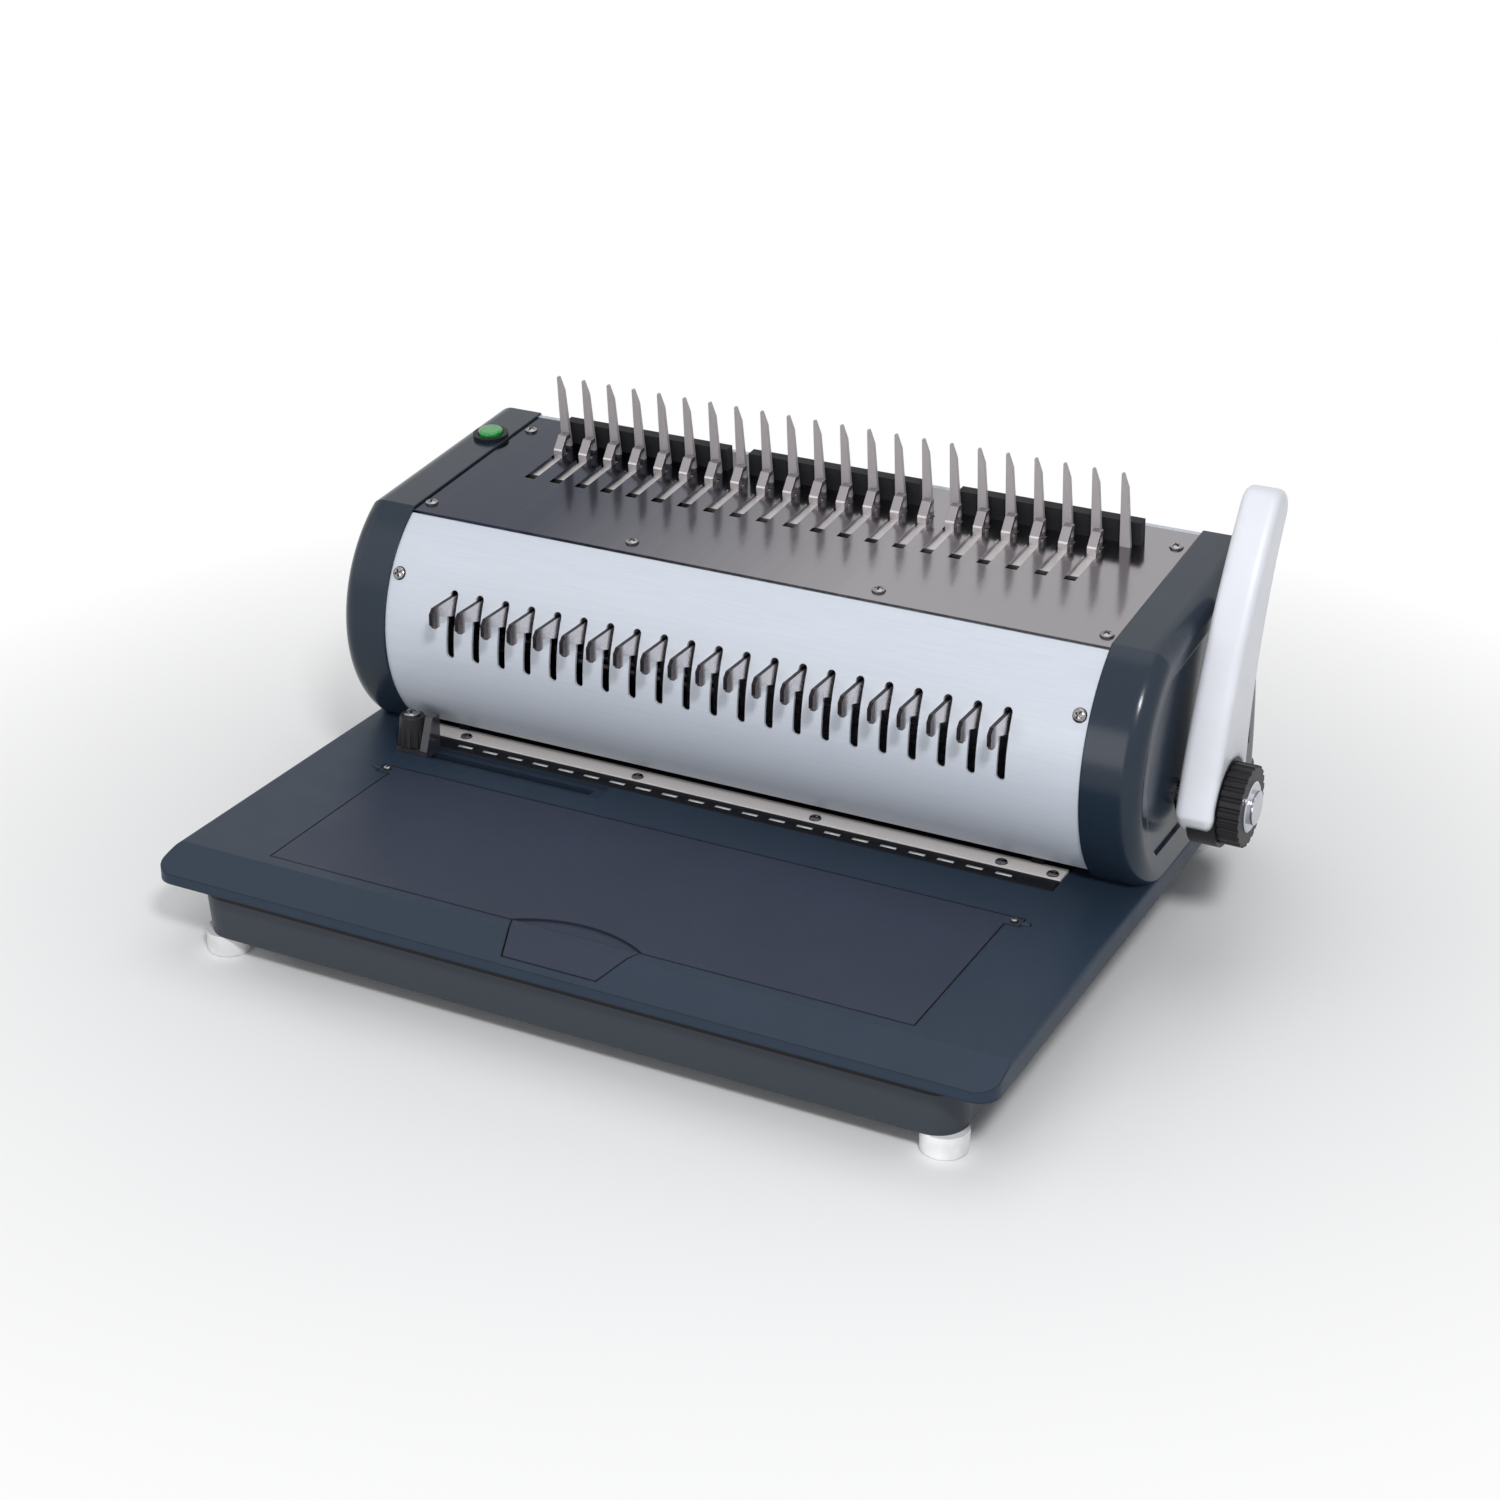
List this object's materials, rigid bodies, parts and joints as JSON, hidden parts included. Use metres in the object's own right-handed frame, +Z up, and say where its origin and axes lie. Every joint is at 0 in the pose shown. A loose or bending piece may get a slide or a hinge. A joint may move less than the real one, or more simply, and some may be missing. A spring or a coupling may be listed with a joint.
{
  "type": "comb binding machine",
  "caption": "Desktop comb binding machine with an electric punch, pin pulls, hinged chip bin lid, edge guide and a hand lever comb opener on its deck.",
  "frame": {"origin": "centre of the bounding box on the table, under the feet", "axes": "+X to the operator's right along the punch row, +Y away from the operator, +Z up"},
  "size_m": [0.4478, 0.343, 0.214],
  "materials": {
    "foot_rubber": "moulded",
    "pan_grey": "satin",
    "tray_grey": "moulded",
    "lid_grey": "moulded",
    "guide_black": "moulded",
    "die_steel": "ground",
    "strip_black": "printed",
    "tool_steel": "oiled",
    "ground_steel": "ground",
    "panel_silver": "silver satin",
    "deck_steel": "brushed",
    "rear_grey": "satin",
    "cap_grey": "moulded",
    "trim_black": "moulded",
    "button_green": "translucent",
    "frame_steel": "zinc plated",
    "bush_brass": "turned",
    "finger_steel": "plated",
    "pad_rubber": "moulded",
    "handle_white": "satin",
    "hub_black": "moulded",
    "cap_chrome": "polished",
    "pull_chrome": "plated",
    "motor_alloy": "cast"
  },
  "bodies": {
    "frame": {"feet": "foot_rubber", "lower_base": "pan_grey", "base_tray": "tray_grey", "die_plate": "die_steel", "scale_strip": "strip_black", "stripper_bar": "tool_steel", "guide_posts": "ground_steel", "front_panel": "panel_silver", "top_deck": "deck_steel", "rear_panel": "rear_grey", "right_end_cap": "cap_grey", "left_end_cap": "cap_grey", "button_bezel": "trim_black", "power_inlet": "trim_black", "switch_frame": "trim_black", "right_side_frame": "frame_steel", "left_side_frame": "frame_steel", "shaft_bushes": "bush_brass", "opener_rails": "ground_steel", "finger_comb": "finger_steel", "comb_pads": "pad_rubber", "gearmotor": "motor_alloy"},
    "drive": {"opener_shaft": "ground_steel", "opener_pinions": "tool_steel", "handle": "handle_white", "handle_hub": "hub_black", "hub_knob": "hub_black", "hub_cap": "cap_chrome"},
    "opener": {"opener_carriage": "finger_steel"},
    "punch": {"punch_bar": "tool_steel", "punch_pins": "ground_steel", "cam_followers": "ground_steel"},
    "cam": {"cam_shaft": "ground_steel", "drive_cams": "tool_steel"},
    "lid": {"bin_lid": "lid_grey"},
    "guide": {"edge_guide": "guide_black"},
    "knob": {"guide_knob": "guide_black"},
    "button": {"start_button": "button_green"},
    "rocker": {"power_rocker": "trim_black"},
    "pull_01": {"pin_pull_01": "pull_chrome"},
    "pull_02": {"pin_pull_02": "pull_chrome"},
    "pull_03": {"pin_pull_03": "pull_chrome"},
    "pull_04": {"pin_pull_04": "pull_chrome"},
    "pull_05": {"pin_pull_05": "pull_chrome"},
    "pull_06": {"pin_pull_06": "pull_chrome"},
    "pull_07": {"pin_pull_07": "pull_chrome"},
    "pull_08": {"pin_pull_08": "pull_chrome"},
    "pull_09": {"pin_pull_09": "pull_chrome"},
    "pull_10": {"pin_pull_10": "pull_chrome"},
    "pull_11": {"pin_pull_11": "pull_chrome"},
    "pull_12": {"pin_pull_12": "pull_chrome"},
    "pull_13": {"pin_pull_13": "pull_chrome"},
    "pull_14": {"pin_pull_14": "pull_chrome"},
    "pull_15": {"pin_pull_15": "pull_chrome"},
    "pull_16": {"pin_pull_16": "pull_chrome"},
    "pull_17": {"pin_pull_17": "pull_chrome"},
    "pull_18": {"pin_pull_18": "pull_chrome"},
    "pull_19": {"pin_pull_19": "pull_chrome"},
    "pull_20": {"pin_pull_20": "pull_chrome"},
    "pull_21": {"pin_pull_21": "pull_chrome"}
  },
  "joints": [
    {"name": "handle_turn", "type": "hinge", "parent": "frame", "child": "drive", "pos_m": [0.1926, 0.0505, 0.08], "axis": [1, 0, 0], "range_deg": [0, 80]},
    {"name": "opener_slide", "type": "slide", "parent": "frame", "child": "opener", "axis": [0, -0.9955, -0.0948], "range_m": [0, 0.028]},
    {"name": "punch_stroke", "type": "slide", "parent": "frame", "child": "punch", "axis": [0, 0, -1], "range_m": [0, 0.014], "stiffness_N_per_m": 1500, "springref_m": -0.03},
    {"name": "cam_turn", "type": "hinge", "parent": "frame", "child": "cam", "pos_m": [-0.0174, 0.0815, 0.126], "axis": [1, 0, 0], "range_deg": [0, 180]},
    {"name": "lid_hinge", "type": "hinge", "parent": "frame", "child": "lid", "pos_m": [-0.0174, -0.043, 0.047], "axis": [-1, 0, 0], "range_deg": [0, 75]},
    {"name": "guide_slide", "type": "slide", "parent": "frame", "child": "guide", "axis": [1, 0, 0], "range_m": [0, 0.095]},
    {"name": "guide_clamp", "type": "hinge", "parent": "guide", "child": "knob", "pos_m": [-0.1829, -0.017, 0.058], "axis": [0, 0, 1], "range_deg": [0, 180]},
    {"name": "button_press", "type": "slide", "parent": "frame", "child": "button", "axis": [0, 0.0948, -0.9955], "range_m": [0, 0.0025], "stiffness_N_per_m": 400, "springref_m": -0.002},
    {"name": "rocker_tilt", "type": "hinge", "parent": "frame", "child": "rocker", "pos_m": [0.0626, 0.1605, 0.078], "axis": [1, 0, 0], "range_deg": [0, 16]},
    {"name": "pull_slide_01", "type": "slide", "parent": "punch", "child": "pull_01", "axis": [0, -1, 0], "range_m": [0, 0.008]},
    {"name": "pull_slide_02", "type": "slide", "parent": "punch", "child": "pull_02", "axis": [0, -1, 0], "range_m": [0, 0.008]},
    {"name": "pull_slide_03", "type": "slide", "parent": "punch", "child": "pull_03", "axis": [0, -1, 0], "range_m": [0, 0.008]},
    {"name": "pull_slide_04", "type": "slide", "parent": "punch", "child": "pull_04", "axis": [0, -1, 0], "range_m": [0, 0.008]},
    {"name": "pull_slide_05", "type": "slide", "parent": "punch", "child": "pull_05", "axis": [0, -1, 0], "range_m": [0, 0.008]},
    {"name": "pull_slide_06", "type": "slide", "parent": "punch", "child": "pull_06", "axis": [0, -1, 0], "range_m": [0, 0.008]},
    {"name": "pull_slide_07", "type": "slide", "parent": "punch", "child": "pull_07", "axis": [0, -1, 0], "range_m": [0, 0.008]},
    {"name": "pull_slide_08", "type": "slide", "parent": "punch", "child": "pull_08", "axis": [0, -1, 0], "range_m": [0, 0.008]},
    {"name": "pull_slide_09", "type": "slide", "parent": "punch", "child": "pull_09", "axis": [0, -1, 0], "range_m": [0, 0.008]},
    {"name": "pull_slide_10", "type": "slide", "parent": "punch", "child": "pull_10", "axis": [0, -1, 0], "range_m": [0, 0.008]},
    {"name": "pull_slide_11", "type": "slide", "parent": "punch", "child": "pull_11", "axis": [0, -1, 0], "range_m": [0, 0.008]},
    {"name": "pull_slide_12", "type": "slide", "parent": "punch", "child": "pull_12", "axis": [0, -1, 0], "range_m": [0, 0.008]},
    {"name": "pull_slide_13", "type": "slide", "parent": "punch", "child": "pull_13", "axis": [0, -1, 0], "range_m": [0, 0.008]},
    {"name": "pull_slide_14", "type": "slide", "parent": "punch", "child": "pull_14", "axis": [0, -1, 0], "range_m": [0, 0.008]},
    {"name": "pull_slide_15", "type": "slide", "parent": "punch", "child": "pull_15", "axis": [0, -1, 0], "range_m": [0, 0.008]},
    {"name": "pull_slide_16", "type": "slide", "parent": "punch", "child": "pull_16", "axis": [0, -1, 0], "range_m": [0, 0.008]},
    {"name": "pull_slide_17", "type": "slide", "parent": "punch", "child": "pull_17", "axis": [0, -1, 0], "range_m": [0, 0.008]},
    {"name": "pull_slide_18", "type": "slide", "parent": "punch", "child": "pull_18", "axis": [0, -1, 0], "range_m": [0, 0.008]},
    {"name": "pull_slide_19", "type": "slide", "parent": "punch", "child": "pull_19", "axis": [0, -1, 0], "range_m": [0, 0.008]},
    {"name": "pull_slide_20", "type": "slide", "parent": "punch", "child": "pull_20", "axis": [0, -1, 0], "range_m": [0, 0.008]},
    {"name": "pull_slide_21", "type": "slide", "parent": "punch", "child": "pull_21", "axis": [0, -1, 0], "range_m": [0, 0.008]}
  ],
  "couplings": [
    {"joint": "opener_slide", "follows": "handle_turn", "m_per_rad": 0.02},
    {"joint": "cam_turn", "follows": "punch_stroke", "rad_per_m": 224.39}
  ]
}
